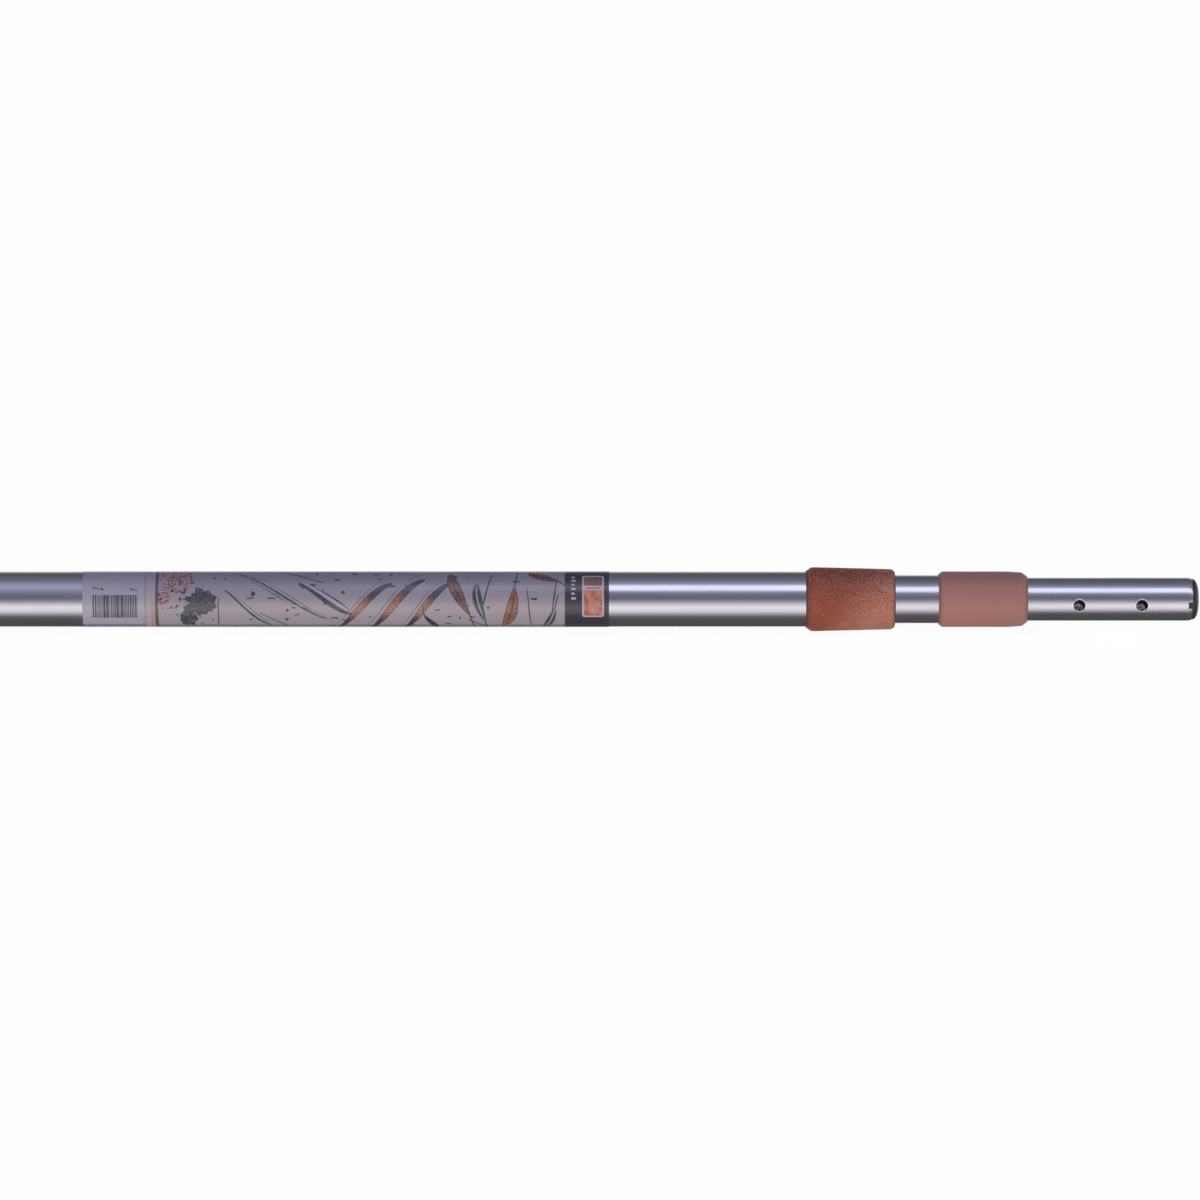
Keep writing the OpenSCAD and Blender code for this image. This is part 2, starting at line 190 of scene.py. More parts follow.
# Aluminium tube, drawn and satin anodised: long soft reflections, faint draw lines along it
tubeMetal = dict(colour="#CBCBCD", smudged="#C3C3C6", roughness=(0.19, 0.25), lineWidth=0.8, lineLength=150,
                 lineDepth=0.004, smudgeSize=60)
drawnAluminium, tree, shader = newMaterial("drawnAnodisedAluminium", Metallic=1.0)
place = addNode(tree, "ShaderNodeTexCoord", out="Object")
stretched = addNode(tree, "ShaderNodeMapping", {"Vector": place, "Scale": [
    perMm(tubeMetal[key]) for key in ("lineLength", "lineWidth", "lineWidth")]})
# real draw lines are about 0.1 mm wide, too fine to show, so they are drawn at lineWidth
lines = addNode(tree, "ShaderNodeTexNoise", {"Vector": stretched, "Scale": 1.0, "Detail": 3.0})
smudges = addNode(tree, "ShaderNodeTexNoise", {"Vector": place, "Scale": perMm(tubeMetal["smudgeSize"]),
                                               "Detail": 4.0})
tone = addNode(tree, "ShaderNodeMix", {
    "Factor": smudges, "A": tubeMetal["colour"], "B": tubeMetal["smudged"]}, data_type="RGBA")
tree.links.new(tone, shader.inputs["Base Color"])
rough = addNode(tree, "ShaderNodeMapRange", {"Value": smudges, "From Min": 0.3, "From Max": 0.7,
                                             "To Min": tubeMetal["roughness"][0],
                                             "To Max": tubeMetal["roughness"][1]})
tree.links.new(rough, shader.inputs["Roughness"])
relief = addNode(tree, "ShaderNodeBump", {"Height": lines, "Strength": 0.25,
                                          "Distance": tubeMetal["lineDepth"] * mm})
tree.links.new(relief, shader.inputs["Normal"])

# Edges left bright where a hole was deburred: bare aluminium, a little smoother
bareAluminium, tree, shader = newMaterial("deburredAluminium", Metallic=1.0, Roughness=0.3)
place = addNode(tree, "ShaderNodeTexCoord", out="Object")
scuffs = addNode(tree, "ShaderNodeTexNoise", {"Vector": place, "Scale": perMm(0.8), "Detail": 3.0})
tone = setStops(addNode(tree, "ShaderNodeValToRGB", {"Fac": scuffs}), [(0.3, "#DADADC"), (0.7, "#EAEAEC")])
tree.links.new(tone, shader.inputs["Base Color"])

# The same tube inside: as extruded, under a chalky skin of oxide that is scuffed in specks, so it is dull
extrudedBore, tree, shader = newMaterial("extrudedBore", Metallic=0.3, Roughness=0.7)
place = addNode(tree, "ShaderNodeTexCoord", out="Object")
scuffs = addNode(tree, "ShaderNodeTexNoise", {"Vector": place, "Scale": perMm(1.7), "Detail": 2.0})
tone = setStops(addNode(tree, "ShaderNodeValToRGB", {"Fac": scuffs}),
                [(0.35, "#626066"), (0.6, "#DAD8DE")])
tree.links.new(tone, shader.inputs["Base Color"])


# heights that the spots settle between, and how far in from a lip the painted shade starts and is full
dipLook = dict(settledLow=-14, settledHigh=20, lipInner=2.0, lipOuter=0.4)


def dippedVinyl(name, size, look):
    # PVC dipped on over the tube: a soft dull skin whose colour runs slightly from end to end, with painted
    # shade darkening it at its lips, under the faint bloom that old vinyl gets. The rear and front colours
    # are each a plain and a clouded one. Low down the front colours reach further back, as painted light
    # from below.
    material, tree, shader = newMaterial(name, Roughness=look["roughness"], Sheen_Weight=look["bloom"],
                                         Sheen_Roughness=0.5)
    place = addNode(tree, "ShaderNodeTexCoord", out="Object")
    along = addNode(tree, "ShaderNodeSeparateXYZ", {"Vector": place}, out="X")
    height = along.node.outputs["Z"]
    cloud = addNode(tree, "ShaderNodeTexNoise", {"Vector": place, "Scale": perMm(look["cloud"]),
                                                 "Detail": 4.0})
    # painted light: low down the paler front colours reach further back, standing in for light from below
    sloped = addNode(tree, "ShaderNodeMath", {0: height, 1: -look["paintedUnderLift"], 2: along},
                     operation="MULTIPLY_ADD")
    drift = addNode(tree, "ShaderNodeMath", {0: cloud, 1: look["drift"] * mm, 2: sloped},
                    operation="MULTIPLY_ADD")
    share = addNode(tree, "ShaderNodeMapRange", {
        "Value": drift, "From Min": look["xFrom"] * mm, "From Max": look["xTo"] * mm},
        interpolation_type="SMOOTHSTEP")
    ends = [addNode(tree, "ShaderNodeMix", {"Factor": cloud, "A": look[end][0], "B": look[end][1]},
                    data_type="RGBA") for end in ("rear", "front")]
    colour = addNode(tree, "ShaderNodeMix", {"Factor": share, "A": ends[0], "B": ends[1]}, data_type="RGBA")
    for speckle in look["speckles"]:
        spots = addNode(tree, "ShaderNodeTexVoronoi", {"Vector": place, "Scale": perMm(speckle["pitch"])})
        patch = addNode(tree, "ShaderNodeTexNoise", {"Vector": place, "Scale": perMm(speckle["patch"]),
                                                     "Detail": 2.0})
        # the spots grow where the patch noise is high and towards the upper side
        settled = addNode(tree, "ShaderNodeMapRange", {
            "Value": height, "From Min": dipLook["settledLow"] * mm,
            "From Max": dipLook["settledHigh"] * mm,
            "To Min": -speckle["settled"], "To Max": speckle["settled"]})
        amount = addNode(tree, "ShaderNodeMath", {0: patch, 1: settled}, operation="ADD")
        limit = addNode(tree, "ShaderNodeMapRange", {
            "Value": amount, "From Min": speckle["low"], "From Max": speckle["high"],
            "To Max": speckle["size"] / speckle["pitch"]}, clamp=False)
        inside = addNode(tree, "ShaderNodeMath", {0: limit, 1: spots}, operation="SUBTRACT")
        soft = addNode(tree, "ShaderNodeMapRange", {"Value": inside, "From Max": speckle["edge"],
                                                    "To Max": speckle["strength"]})
        colour = addNode(tree, "ShaderNodeMix", {"Factor": soft, "A": colour, "B": speckle["colour"]},
                         data_type="RGBA")
    # painted shade: the colour darkens towards each lip, standing in for the shade in the gap to the tube
    half = (size["front"] - size["rear"]) / 2
    fromMiddle = addNode(tree, "ShaderNodeMath", {0: along, 1: (size["rear"] + half) * mm},
                         operation="SUBTRACT")
    reach = addNode(tree, "ShaderNodeMath", {0: fromMiddle}, operation="ABSOLUTE")
    paintedLipShade = addNode(tree, "ShaderNodeMapRange", {
        "Value": reach, "From Min": (half - dipLook["lipInner"]) * mm,
        "From Max": (half - dipLook["lipOuter"]) * mm, "To Max": look["paintedLipShade"]})
    colour = addNode(tree, "ShaderNodeMix", {"Factor": paintedLipShade, "A": colour, "B": look["paintedLipShadeColour"]},
                     data_type="RGBA")
    tree.links.new(colour, shader.inputs["Base Color"])
    skin = addNode(tree, "ShaderNodeTexNoise", {"Vector": place, "Scale": perMm(look["grain"]),
                                                "Detail": 3.0})
    relief = addNode(tree, "ShaderNodeBump", {"Height": skin, "Strength": look["relief"],
                                              "Distance": look["depth"] * mm})
    tree.links.new(relief, shader.inputs["Normal"])
    return material


mouldLook = dict(handled=14, spread=0.06)


def mouldedPlastic(name, colour, worn, roughness, size, depth, strength=0.4):
    # injection moulded: an even colour with a fine spark-eroded grain, a little paler where it is handled
    material, tree, shader = newMaterial(name)
    place = addNode(tree, "ShaderNodeTexCoord", out="Object")
    handled = addNode(tree, "ShaderNodeTexNoise", {"Vector": place, "Scale": perMm(mouldLook["handled"]),
                                                   "Detail": 5.0})
    share = addNode(tree, "ShaderNodeMapRange", {"Value": handled, "From Min": 0.45, "From Max": 0.75})
    tone = addNode(tree, "ShaderNodeMix", {"Factor": share, "A": colour, "B": worn}, data_type="RGBA")
    tree.links.new(tone, shader.inputs["Base Color"])
    rough = addNode(tree, "ShaderNodeMapRange", {
        "Value": handled, "To Min": roughness + mouldLook["spread"],
        "To Max": roughness - mouldLook["spread"]})
    tree.links.new(rough, shader.inputs["Roughness"])
    grain = addNode(tree, "ShaderNodeTexNoise", {"Vector": place, "Scale": perMm(size), "Detail": 2.0})
    relief = addNode(tree, "ShaderNodeBump", {"Height": grain, "Strength": strength,
                                              "Distance": depth * mm})
    tree.links.new(relief, shader.inputs["Normal"])
    return material


gripRubber = mouldedPlastic("mouldedGripRubber", "#232325", "#2D2D2F", 0.62, 0.5, 0.05, 0.6)
capPlastic = mouldedPlastic("mouldedPolypropylene", "#302F32", "#3A393D", 0.42, 0.4, 0.01)
bushNylon = mouldedPlastic("mouldedGlassNylon", "#3A3A3D", "#47474A", 0.5, 0.6, 0.02)
plugNylon = mouldedPlastic("mouldedIvoryNylon", "#D8D5C8", "#E2E0D6", 0.4, 0.6, 0.01)
camRubber = mouldedPlastic("mouldedCamRubber", "#B8552F", "#C4683F", 0.55, 0.5, 0.03)

# Steel with bright zinc plating: a cool metal with a faint crystal mottle
zincSteel, tree, shader = newMaterial("zincPlatedSteel", Metallic=1.0)
place = addNode(tree, "ShaderNodeTexCoord", out="Object")
crystals = addNode(tree, "ShaderNodeTexVoronoi", {"Vector": place, "Scale": perMm(1.2)}, out="Color")
mottle = addNode(tree, "ShaderNodeSeparateXYZ", {"Vector": crystals})
tone = addNode(tree, "ShaderNodeMix", {"Factor": mottle, "A": "#B9BCC2", "B": "#CBCBC6"},
               data_type="RGBA")
tree.links.new(tone, shader.inputs["Base Color"])
rough = addNode(tree, "ShaderNodeMapRange", {"Value": mottle, "To Min": 0.26, "To Max": 0.38})
tree.links.new(rough, shader.inputs["Roughness"])
print("materials made")


# The three tubes

outerTube = dict(x0=4, x1=1204, bore=16.9, radius=17.9, edge=0.15, steps=192,
                 window=(1189.95, 1195.05, 3.05))
middleTube = dict(x0=54, x1=1289.8, bore=14.8, radius=15.6, edge=0.15, steps=192,
                  window=(1275.75, 1280.85, 3.05), pinHole=69)
tipTube = dict(x0=122, x1=1402.1, bore=13, radius=14, steps=192, pinHole=137, rollStart=1397.9, rollIn=0.8,
               rollSteps=12, buttonHoles=(1328.5, 1369.1), buttonRadius=4, notchX=1399.3, notchHalf=2.15,
               boreSlack=0.02)
pinHoleRadius = 2.05


def plainTube(name, size):
    # a drawn tube, with the windows for its bush's lugs and the hole for its plug's pin
    a, b, e = size["x0"], size["x1"], size["edge"]
    made = asObject(turned([(a, size["bore"]), (a, size["radius"], e), (b, size["radius"], e),
                            (b, size["bore"])], size["steps"]), name, [drawnAluminium])
    cutter = bmesh.new()
    x0, x1, half = size["window"]
    addBlock(cutter, x0, x1, half, size["radius"] + 1)
    if "pinHole" in size:
        addRod(cutter, size["pinHole"], pinHoleRadius, size["radius"] + 1)
    cutAway(made, cutter)
    return made


settle(plainTube("outer_tube_drawn", outerTube), "outer", "anodised_tube", "outer_tube")
settle(plainTube("middle_tube_drawn", middleTube), "middle", "anodised_tube", "middle_tube")

# the tip's end is rolled in over the cap, so its outside ends in a quarter of an ellipse
a, b, r = tipTube["x0"], tipTube["x1"], tipTube["radius"]
rollOutside = quarterRound(tipTube["rollStart"], r, b, r - tipTube["rollIn"], tipTube["rollSteps"])
tip = asObject(turned([(a, r), *rollOutside, (b, tipTube["bore"] - tipTube["rollIn"]),
                       (tipTube["rollStart"], tipTube["bore"]), (a, tipTube["bore"])], tipTube["steps"]),
               "tip_tube_drawn", [drawnAluminium, extrudedBore])
cutter = bmesh.new()
for x in tipTube["buttonHoles"]:
    addRod(cutter, x, tipTube["buttonRadius"], r + 1)
addRod(cutter, tipTube["pinHole"], pinHoleRadius, r + 1)
addBlock(cutter, tipTube["notchX"], b + 1, r + 1, tipTube["notchHalf"])
cutAway(tip, cutter)
for face in tip.data.polygons:
    if face.center.yz.length < (tipTube["bore"] + tipTube["boreSlack"]) * mm:
        face.material_index = 1
settle(tip, "tip", "anodised_tube", "tip_tube")

# a bright lip is left round each button hole, front and back, and follows the tube's round
holeLip = dict(inner=3.98, outer=4.72, innerHeight=0.03, height=0.13, outerHeight=0.01, crown=0.25,
               sunk=0.3, steps=72)
bm = bmesh.new()
middleOfLip = (holeLip["inner"] + holeLip["outer"]) / 2
section = [(holeLip["inner"], -holeLip["sunk"]), (holeLip["inner"], holeLip["innerHeight"]),
           (middleOfLip, holeLip["height"]), (holeLip["outer"], holeLip["outerHeight"]),
           (holeLip["outer"], -holeLip["sunk"])]
for x in tipTube["buttonHoles"]:
    for side in (-1, 1):
        ring = bmesh.new()
        corners = [ring.verts.new((p[0] * mm, p[1] * mm, 0)) for p in section]
        for i, corner in enumerate(corners):
            ring.edges.new((corners[i - 1], corner))
        bmesh.ops.bevel(ring, geom=[corners[2]], offset=holeLip["crown"] * mm, segments=4, profile=0.5,
                        affect="VERTICES", material=-1)
        bmesh.ops.spin(ring, geom=ring.verts[:] + ring.edges[:], cent=(0, 0, 0), axis=(0, 1, 0),
                       angle=fullTurn, steps=holeLip["steps"], use_merge=True)
        for vert in ring.verts:
            reach = r * mm + vert.co.y
            vert.co.y = side * math.sqrt(reach ** 2 - vert.co.z ** 2)
            vert.co.x += x * mm
        ring.normal_update()  # the move has changed the directions that the next line starts from
        bmesh.ops.recalc_face_normals(ring, faces=ring.faces)
        moveInto(bm, ring)
settle(asObject(bm, "button_hole_lips", [bareAluminium], sharp=60), "tip", "anodised_tube")
print("tubes made")


# The soft collars

# roundings, and how far out from the mouth and the bore the wall stays even
collarRounds = dict(lip=0.15, chamfer=0.6, nose=0.7, front=0.25, noseSteps=12, mouthLeft=2, boreLeft=0.3)
outerCollar = dict(rear=1151.5, front=1209.5, bore=17.95, edge=0.4, chamfer=3.6, straight=8,
                   rearRadius=20.8, frontRadius=19.65, nose=3.4, mouth=15.9, seat=1207, cell=0.45,
                   steps=280, wave=0.10, waveSize=11, pebble=0.07, pebbleSize=1.1)
middleCollar = dict(rear=1237.5, front=1295.3, bore=15.65, edge=0.4, chamfer=2.4, straight=45.5,
                    rearRadius=18.05, frontRadius=17.45, nose=3.4, mouth=14.3, seat=1292.8, cell=0.9,
                    steps=160, wave=0.06, waveSize=14, pebble=0.012, pebbleSize=1.6)

rustVinyl = dippedVinyl("dippedGrainedVinyl", outerCollar, dict(
    rear=("#AD5A3C", "#A34C31"), front=("#C87F62", "#D18C71"), roughness=0.62, xFrom=1174, xTo=1213,
    cloud=5, drift=18, paintedUnderLift=0.7, bloom=0.12, paintedLipShade=0.8, paintedLipShadeColour="#4E3A3A", grain=0.9, relief=0.5, depth=0.10,
    speckles=[dict(pitch=1.7, size=1.1, patch=9, low=-0.3, high=0.95, settled=0.3, edge=0.3,
                   colour="#7A3820", strength=0.75),
              dict(pitch=1.9, size=1.05, patch=13, low=-0.2, high=0.9, settled=0.12, edge=0.3,
                   colour="#D9946E", strength=0.65)]))
salmonVinyl = dippedVinyl("dippedSmoothVinyl", middleCollar, dict(
    rear=("#BF836F", "#C68B79"), front=("#C38875", "#BF8473"), roughness=0.55, xFrom=1240, xTo=1292,
    cloud=10, drift=12, paintedUnderLift=0.0, bloom=0.2, paintedLipShade=0.55, paintedLipShadeColour="#6E4A48", grain=1.4, relief=0.3, depth=0.03,
    speckles=[dict(pitch=1.3, size=0.6, patch=18, low=0.1, high=0.9, settled=0.0, edge=0.35,
                   colour="#A06A5B", strength=0.5)]))


def softCollar(name, size, material, roundNose):
    # the outside goes from the rear chamfer over a straight part and a taper to the nose, and the wall
    # then steps in to a mouth ahead of the tube's end
    tubeEnd, tipOff = size["seat"], size["front"] - size["nose"]
    if roundNose:
        nose = quarterRound(tipOff, size["frontRadius"], size["front"], size["mouth"] + size["edge"],
                            collarRounds["noseSteps"])
    else:
        nose = [(tipOff, size["frontRadius"], collarRounds["nose"]),
                (size["front"], size["mouth"] + size["edge"], collarRounds["front"])]
    outline = [(size["rear"], size["bore"]),
               (size["rear"], size["bore"] + size["edge"], collarRounds["lip"]),
               (size["rear"] + size["chamfer"], size["rearRadius"], collarRounds["chamfer"]),
               (size["rear"] + size["straight"], size["rearRadius"]), *nose,
               (size["front"], size["mouth"]), (tubeEnd, size["mouth"]), (tubeEnd, size["bore"])]
    bm = turned(outline, size["steps"], size["cell"])
    # a dipped skin is never quite even: it sinks a little in slow waves and between its pebbles
    inside = max(size["mouth"] + collarRounds["mouthLeft"], size["bore"] + collarRounds["boreLeft"])
    for vert in bm.verts:
        radial = Vector((0, vert.co.y, vert.co.z))
        if radial.length < inside * mm:
            continue
        wave = noise.noise(vert.co / (size["waveSize"] * mm))
        grain = noise.noise(vert.co / (size["pebbleSize"] * mm))
        sink = size["wave"] * (0.5 + 0.5 * wave) + size["pebble"] * (0.5 + 0.5 * grain)
        vert.co -= radial.normalized() * sink * mm
    return asObject(bm, name, [material], sharp=50)


settle(softCollar("outer_collar_skin", outerCollar, rustVinyl, True), "outer", "rust_collar",
       "outer_collar")
settle(softCollar("middle_collar_skin", middleCollar, salmonVinyl, False), "middle", "salmon_collar",
       "middle_collar")
print("collars made")


# The butt end

handGrip = dict(x0=4, x1=134, bore=17.95, radius=20.8, chamfer=1.5, groove=1.1, grooveWide=2.8, pitch=7,
                plain=10, soft=0.35, grooveSoft=0.3, steps=160)
size = handGrip
grooves = int((size["x1"] - size["x0"] - 2 * size["plain"] - size["grooveWide"]) / size["pitch"])
first = (size["x0"] + size["x1"] - grooves * size["pitch"]) / 2
low, half = size["radius"] - size["groove"], size["grooveWide"] / 2
outline = [(size["x1"], size["bore"]), (size["x0"], size["bore"]),
           (size["x0"], size["radius"] - size["chamfer"], size["soft"]),
           (size["x0"] + size["chamfer"], size["radius"], size["soft"])]
for i in range(grooves + 1):
    x = first + i * size["pitch"]
    inwards = size["groove"] / 2
    outline += [(x - half, size["radius"], size["soft"]), (x - half + inwards, low, size["grooveSoft"]),
                (x + half - inwards, low, size["grooveSoft"]), (x + half, size["radius"], size["soft"])]
outline += [(size["x1"] - size["chamfer"], size["radius"], size["soft"]),
            (size["x1"], size["radius"] - size["chamfer"], size["soft"])]
settle(asObject(turned(outline, size["steps"]), "hand_grip_ribbed", [gripRubber]), "outer", "grip_rubber",
       "hand_grip")

buttCap = dict(flange=4, radius=19.9, round=2.5, roundSteps=10, spigot=16.85, spigotEnd=26, wall=2,
               flangeSoft=0.2, outerSoft=0.5, innerSoft=0.3, steps=128)
size = buttCap
edge = quarterRound(size["round"], size["radius"], 0, size["radius"] - size["round"], size["roundSteps"])
outline = [(0, 0), *reversed(edge), (size["flange"], size["radius"], size["flangeSoft"]),
           (size["flange"], size["spigot"]), (size["spigotEnd"], size["spigot"], size["outerSoft"]),
           (size["spigotEnd"], size["spigot"] - size["wall"], size["innerSoft"]),
           (size["flange"], size["spigot"] - size["wall"]), (size["flange"], 0)]
settle(asObject(turned(outline, size["steps"]), "butt_cap_moulded", [capPlastic]), "outer", "cap_plastic",
       "butt_cap")
print("butt end made")


# Printed films, whose inks are cut into the film itself

filmRadius = 17.92  # inside of both films
halfRound = math.pi * filmRadius

inkLook = dict(roughness=(0.36, 0.48), fadeTop=17, fadeBottom=-3, drift=0.16, run=0.9)


def printInk(name, tones, mottle, broken=None, alongStops=None, low=None):
    # screen ink on polypropylene film under a clear coat: even, slightly glossy, clouded where it is thin.
    # tones are the plain and clouded colours, broken a second colour that shows in flecks, alongStops a
    # run of colours from the start of a stroke to its end, and low a paler colour that it fades to below,
    # as painted light from below
    material, tree, shader = newMaterial(name, Roughness=0.42, Coat_Weight=0.7, Coat_Roughness=0.18)
    place = addNode(tree, "ShaderNodeTexCoord", out="Object")
    cloud = addNode(tree, "ShaderNodeTexNoise", {"Vector": place, "Scale": perMm(mottle), "Detail": 4.0})
    share = addNode(tree, "ShaderNodeMapRange", {"Value": cloud, "From Min": 0.35, "From Max": 0.65})
    colour = addNode(tree, "ShaderNodeMix", {"Factor": share, "A": tones[0], "B": tones[1]},
                     data_type="RGBA")
    # painted light: the film pales towards the bottom, standing in for light from below
    if low:
        height = addNode(tree, "ShaderNodeSeparateXYZ", {"Vector": place}, out="Z")
        paintedLowShare = addNode(tree, "ShaderNodeMapRange", {
            "Value": height, "From Min": inkLook["fadeTop"] * mm, "From Max": inkLook["fadeBottom"] * mm},
            interpolation_type="SMOOTHSTEP")
        colour = addNode(tree, "ShaderNodeMix", {"Factor": paintedLowShare, "A": colour, "B": low},
                         data_type="RGBA")
    if alongStops:
        stroke = addNode(tree, "ShaderNodeUVMap", out="UV", uv_map="stroke")
        along = addNode(tree, "ShaderNodeSeparateXYZ", {"Vector": stroke}, out="X")
        drift = addNode(tree, "ShaderNodeMath", {0: cloud, 1: inkLook["drift"], 2: along},
                        operation="MULTIPLY_ADD")
        run = setStops(addNode(tree, "ShaderNodeValToRGB", {"Fac": drift}), alongStops)
        colour = addNode(tree, "ShaderNodeMix", {"Factor": inkLook["run"], "A": colour, "B": run},
                         data_type="RGBA")
    if broken:
        specks = addNode(tree, "ShaderNodeTexNoise", {"Vector": place, "Scale": perMm(broken["size"]),
                                                      "Detail": 1.0})
        shown = addNode(tree, "ShaderNodeMapRange", {
            "Value": specks, "From Min": broken["low"], "From Max": broken["high"],
            "To Max": broken["strength"]})
        colour = addNode(tree, "ShaderNodeMix", {"Factor": shown, "A": colour, "B": broken["colour"]},
                         data_type="RGBA")
    tree.links.new(colour, shader.inputs["Base Color"])
    rough = addNode(tree, "ShaderNodeMapRange", {"Value": cloud, "To Min": inkLook["roughness"][0],
                                                 "To Max": inkLook["roughness"][1]})
    tree.links.new(rough, shader.inputs["Roughness"])
    return material


def flecks(size, low, high, colour, strength):
    return dict(size=size, low=low, high=high, colour=colour, strength=strength)


# the grounds' low colours are paler: painted light from below
inks = dict(
    lavender=printInk("filmLavender", ("#A5A0A6", "#A09BA2"), 24, low="#B9AEAE"),
    slate=printInk("inkSlate", ("#3F3E4C", "#4B4A58"), 3, flecks(1.1, 0.52, 0.64, "#7B7784", 0.5)),
    line=printInk("inkLine", ("#464350", "#53505C"), 3),
    charcoal=printInk("inkCharcoal", ("#43474A", "#505457"), 4, flecks(1.4, 0.56, 0.66, "#8A878C", 0.65)),
    shade=printInk("inkShade", ("#85818D", "#8E8994"), 6),
    pale=printInk("inkPale", ("#C4BFC3", "#B9B4B9"), 5),
    umber=printInk("inkUmber", ("#46393B", "#524244"), 3),
    rust=printInk("inkRust", ("#6B463F", "#7A5148"), 3, flecks(1.0, 0.52, 0.6, "#A98379", 0.75)),
    amber=printInk("inkAmber", ("#B77B52", "#9E6747"), 4, flecks(1.2, 0.53, 0.63, "#6E4A3E", 0.7)),
    blush=printInk("inkBlush", ("#C4A3A1", "#BA9C9C"), 5, flecks(1.2, 0.53, 0.59, "#633A3E", 0.95)),
    ember=printInk("inkEmber", ("#77656A", "#80696A"), 3, flecks(0.9, 0.52, 0.6, "#423E4B", 0.6),
                   [(0.05, "#403E4C"), (0.5, "#5A5660"), (0.62, "#BD7B58"), (0.76, "#CB8A66"),
                    (0.88, "#553E3F")]),
    band=printInk("inkBand", ("#3B3641", "#423D47"), 9),
    cream=printInk("inkCream", ("#DCC5C3", "#D2BBBB"), 4),
    mauve=printInk("inkMauve", ("#835C58", "#A07268"), 2.2),
    orange=printInk("inkOrange", ("#BC5B37", "#E2A385"), 4),
    pearl=printInk("filmPearl", ("#BAB6BE", "#B4B0BA"), 20, low="#C0BAC0"),
    bars=printInk("inkBars", ("#4F4B5A", "#5A5664"), 2),
    hem=printInk("inkHem", ("#6E5B5A", "#786463"), 3),
    # painted shade along the films' undersides
    seam=printInk("paintedUnderShade", ("#98919A", "#9E9696"), 8),
    lilac=printInk("filmLilac", ("#B6AFB6", "#B9ABAC"), 9, low="#C3B7B6"),
    salmon=printInk("inkSalmon", ("#BFA89D", "#C6A698"), 5))


leastHalf = 0.12  # half of the finest stroke
cornerSteps = 5


def brush(ink, a, b, c, d, width, taper="both", steps=18, edge=None, edgeWidth=0.55):
    # a brush stroke of that greatest width along a bezier from a to d, with an edge of another ink if asked
    spine = [p.xy for p in interpolate_bezier(*[Vector((*p, 0)) for p in (a, b, c, d)], steps)]
    shapes = []
    for tint, wider in ([(edge, edgeWidth)] if edge else []) + [(ink, 0)]:
        right, left = [], []
        for i, point in enumerate(spine):
            ahead = spine[min(i + 1, steps - 1)] - spine[max(i - 1, 0)]
            across = Vector((-ahead.y, ahead.x)).normalized()
            t = i / (steps - 1)
            swell = {"both": math.sin(math.pi * t) ** 0.6,
                     "club": math.sin(math.pi * (0.1 + 0.86 * t ** 2)) ** 0.5,
                     "leaf": math.sin(math.pi * t ** 0.8), "none": 1.0}[taper]
            half = max(leastHalf, width / 2 * swell) + wider
            right.append(point - across * half)
            left.append(point + across * half)
        shapes.append(dict(ink=tint, outline=right + left[::-1], spine=spine))
    return shapes


def spot(ink, x, v, radius, sides=9, uneven=0.0, dice=None):
    outline = []
    for i in range(sides):
        turn = fullTurn * i / sides
        reach = radius * (1 + (dice.uniform(-uneven, uneven) if dice else 0))
        outline.append(Vector((x + reach * math.cos(turn), v + reach * math.sin(turn))))
    return [dict(ink=ink, outline=outline)]


def panel(ink, x0, x1, v0, v1, corner=0.0):
    # a rectangle, with rounded corners if asked
    if not corner:
        return [dict(ink=ink, outline=[Vector(p) for p in ((x0, v0), (x1, v0), (x1, v1), (x0, v1))])]
    outline = []
    for cx, cv, start in ((x1 - corner, v0 + corner, -90), (x1 - corner, v1 - corner, 0),
                          (x0 + corner, v1 - corner, 90), (x0 + corner, v0 + corner, 180)):
        for i in range(cornerSteps + 1):
            turn = math.radians(start + 90 // cornerSteps * i)
            outline.append(Vector((cx + corner * math.cos(turn), cv + corner * math.sin(turn))))
    return [dict(ink=ink, outline=outline)]


